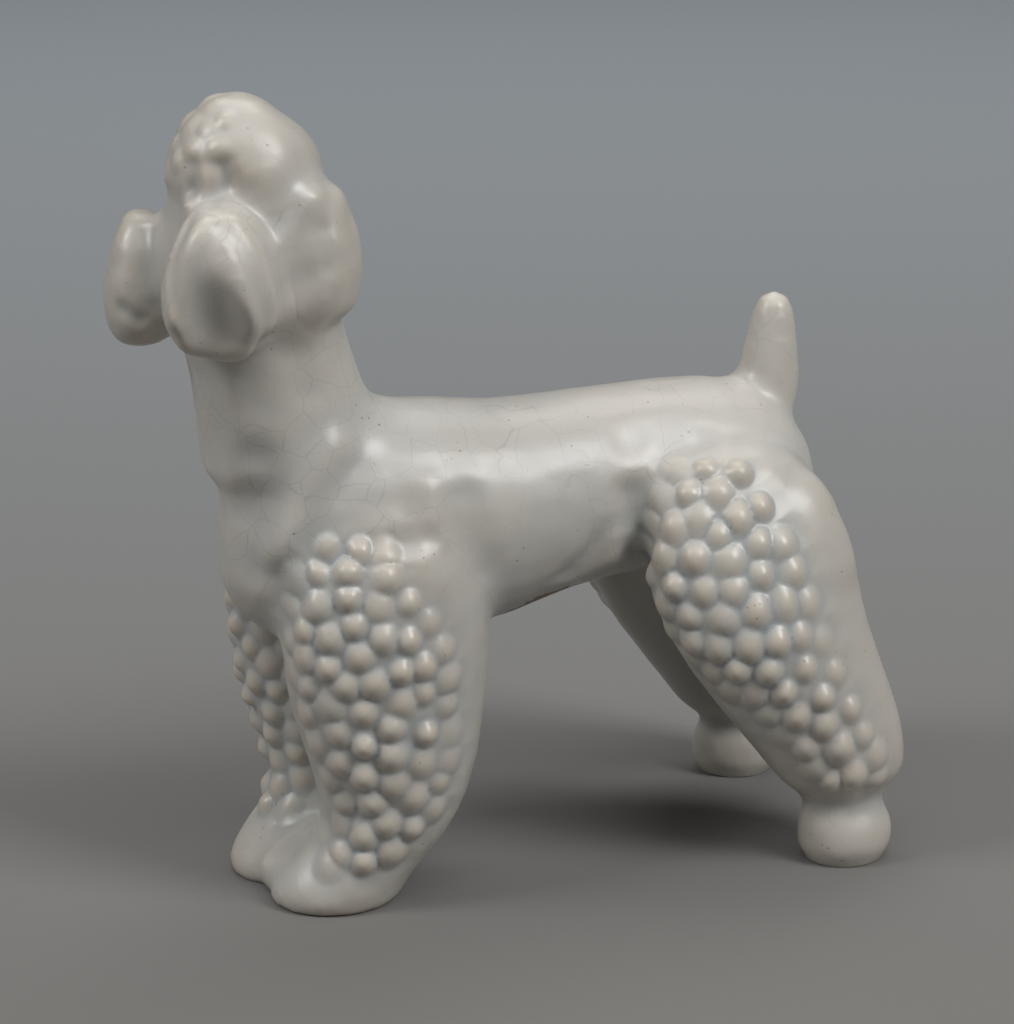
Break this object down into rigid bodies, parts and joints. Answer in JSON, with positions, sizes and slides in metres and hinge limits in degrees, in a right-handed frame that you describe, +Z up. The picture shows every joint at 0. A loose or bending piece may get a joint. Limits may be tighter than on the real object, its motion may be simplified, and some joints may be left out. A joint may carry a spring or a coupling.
{
  "type": "dog figurine",
  "caption": "Glazed ceramic figurine of a standing clipped poodle with puffed, curl-covered legs, a domed topknot and its head turned, to stand on a shelf.",
  "frame": {"origin": "on the standing surface, under the middle of the overall box", "axes": "+Z up, -X towards the dog's chest, -Y the dog's left side"},
  "size_m": [0.1549, 0.0738, 0.1604],
  "materials": {
    "body_glaze": "off-white satin-gloss glaze with fine grey crazing and pinholes",
    "curl_glaze": "off-white satin-gloss glaze, warmer where it runs thin on the raised curls"
  },
  "bodies": {
    "root": {"torso": "body_glaze", "neck": "body_glaze", "skull": "body_glaze", "muzzle": "body_glaze", "tail": "body_glaze", "topknot": "curl_glaze", "ear_left": "curl_glaze", "ear_right": "curl_glaze", "foreleg_left": "curl_glaze", "foreleg_right": "curl_glaze", "hindleg_left": "curl_glaze", "hindleg_right": "curl_glaze"}
  },
  "joints": []
}
